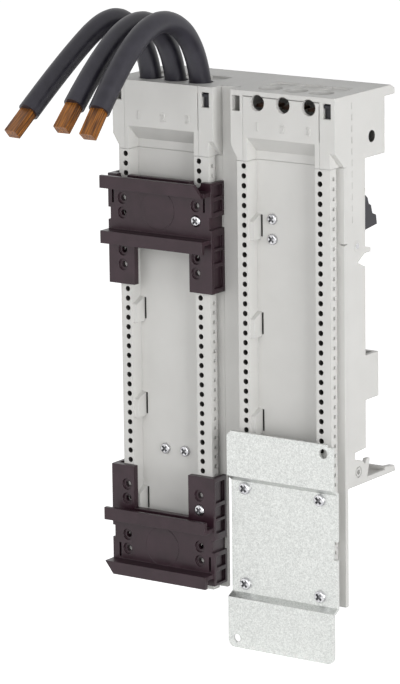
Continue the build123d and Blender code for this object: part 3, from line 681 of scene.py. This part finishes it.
def raisedRing(name, ring):
    out = Vector(ring["facing"])
    bpy.ops.mesh.primitive_cylinder_add(
        vertices=48, radius=ring["radius"], depth=2 * ring["relief"], location=ring["at"],
        rotation=out.to_track_quat("Z", "Y").to_euler(),
    )
    piece = bpy.context.object
    piece.name = name
    placeIntoMesh(piece)
    selectFaces(piece, lambda face: face.normal.dot(out) > straightOn)
    bpy.ops.mesh.inset(thickness=ring["line"])
    sink = -1.5 * ring["relief"]  # the middle goes down below the wall's face
    bpy.ops.transform.translate(value=out * sink)
    bpy.ops.object.mode_set(mode="OBJECT")
    bpy.ops.object.shade_smooth_by_angle(angle=smoothUpTo["turned"])
    piece.data.materials.append(materials[ring["finish"]])
    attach(piece, "frame")


for name, ring in rings.items():
    raisedRing(name, ring)
print("rings done")


# Nodes that are shown as they are, and a plain finish for those that a piece stands in for

# the phase straps take the copper with painted shade, so the terminal outlets look dark inside
plainNodes = {
    "latch_pin": "brightSteel", "contact": "agedCopper", "phase_straps": "copperPaintedShade",
    "coupling_dowels": "greyPlastic",
}


def refinish(node, finish):
    node.data.materials.clear()
    node.data.materials.append(materials[finish])


for nodeName, node in nodes.items():
    for part, finish in plainNodes.items():
        if part in nodeName:
            refinish(node, finish)
for nodeName in [*screws, *moulded, *("cable_" + number for number in cables)]:
    refinish(nodes[nodeName], "greyPlastic")
print("plain nodes finished")


# Camera, lights and backdrop

cameraSetting = {
    "at": (1.10715, -1.65225, 0.36192), "turned": (77.3996, 0.7152, 34.4528), "lens": 210.534,
    "sensor": 36, "sees": 20,
}
bpy.ops.object.camera_add(
    location=cameraSetting["at"],
    rotation=[radians(angle) for angle in cameraSetting["turned"]],
)
camera = bpy.context.object
camera.data.lens = cameraSetting["lens"]
camera.data.sensor_width = cameraSetting["sensor"]
camera.data.clip_end = cameraSetting["sees"]
bpy.context.scene.camera = camera

lights = {
    "lowRight": {"at": (1.60, -0.62, 0.02), "size": 1.1, "power": 26},
    "front": {"at": (0.1, -1.8, 0.45), "size": 1.2, "power": 9.5},
    "left": {"at": (-1.4, -0.9, 0.5), "size": 1.2, "power": 3},
}
lightAim = Vector((0, 0, -0.08))
for name, light in lights.items():
    bpy.ops.object.light_add(type="AREA", location=light["at"])
    lamp = bpy.context.object
    lamp.name = name
    lamp.rotation_euler = (lightAim - Vector(light["at"])).to_track_quat("-Z", "Y").to_euler()
    lamp.data.size = light["size"]
    lamp.data.energy = light["power"]


def seenDirectly(tree):  # camera, gloss and glass all meet the backdrop as it looks
    path = tree.nodes.new("ShaderNodeLightPath")
    first = tree.nodes.new("ShaderNodeMath")
    first.operation = "ADD"
    tree.links.new(path.outputs["Is Camera Ray"], first.inputs[0])
    tree.links.new(path.outputs["Is Glossy Ray"], first.inputs[1])
    total = tree.nodes.new("ShaderNodeMath")
    total.operation = "ADD"
    total.use_clamp = True
    tree.links.new(first.outputs["Value"], total.inputs[0])
    tree.links.new(path.outputs["Is Transmission Ray"], total.inputs[1])
    return total.outputs["Value"]


backdrop = {
    "floorSize": 8, "floorColour": (0.86, 0.86, 0.86), "floorRoughness": 0.95,
    "floorGlow": 0.7, "worldStrength": (0.58, 0.34),  # at the horizon and overhead
}

bpy.ops.mesh.primitive_plane_add(size=backdrop["floorSize"], location=(0, 0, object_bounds()[0][2]))
floor = bpy.context.object
floor.name = "floor"
placeIntoMesh(floor)
paleFloor = bpy.data.materials.new("paleFloor")
paleFloor.use_nodes = True
floorTree = paleFloor.node_tree
floorShader = floorTree.nodes["Principled BSDF"]
floorShader.inputs["Base Color"].default_value = (*backdrop["floorColour"], 1)
floorShader.inputs["Roughness"].default_value = backdrop["floorRoughness"]
floorShader.inputs["Specular IOR Level"].default_value = 0.0
floorGlow = floorTree.nodes.new("ShaderNodeEmission")
floorGlow.inputs["Strength"].default_value = backdrop["floorGlow"]
noGlow = floorTree.nodes.new("ShaderNodeEmission")
noGlow.inputs["Strength"].default_value = 0.0
glowMix = floorTree.nodes.new("ShaderNodeMixShader")
floorTree.links.new(seenDirectly(floorTree), glowMix.inputs["Fac"])
floorTree.links.new(noGlow.outputs["Emission"], glowMix.inputs[1])
floorTree.links.new(floorGlow.outputs["Emission"], glowMix.inputs[2])
floorSum = floorTree.nodes.new("ShaderNodeAddShader")
floorTree.links.new(floorShader.outputs["BSDF"], floorSum.inputs[0])
floorTree.links.new(glowMix.outputs["Shader"], floorSum.inputs[1])
floorOutput = floorTree.nodes["Material Output"]
floorTree.links.new(floorSum.outputs["Shader"], floorOutput.inputs["Surface"])
floor.data.materials.append(paleFloor)

world = bpy.data.worlds.new("studio")
bpy.context.scene.world = world
world.use_nodes = True
worldTree = world.node_tree
ambient = worldTree.nodes["Background"]
ambient.inputs["Color"].default_value = (1, 1, 1, 1)
skyPlace = worldTree.nodes.new("ShaderNodeTexCoord")
skyHeight = worldTree.nodes.new("ShaderNodeSeparateXYZ")
worldTree.links.new(skyPlace.outputs["Generated"], skyHeight.inputs["Vector"])
worldTree.links.new(
    addRange(worldTree, skyHeight.outputs["Z"], *backdrop["worldStrength"], 0.0, 1.0),
    ambient.inputs["Strength"],
)
seen = worldTree.nodes.new("ShaderNodeBackground")
seen.inputs["Color"].default_value = (1, 1, 1, 1)
seen.inputs["Strength"].default_value = 1.0
worldMix = worldTree.nodes.new("ShaderNodeMixShader")
worldTree.links.new(seenDirectly(worldTree), worldMix.inputs["Fac"])
worldTree.links.new(ambient.outputs["Background"], worldMix.inputs[1])
worldTree.links.new(seen.outputs["Background"], worldMix.inputs[2])
worldTree.links.new(worldMix.outputs["Shader"], worldTree.nodes["World Output"].inputs["Surface"])
bpy.context.scene.view_settings.view_transform = "Standard"
print("camera and lights done")
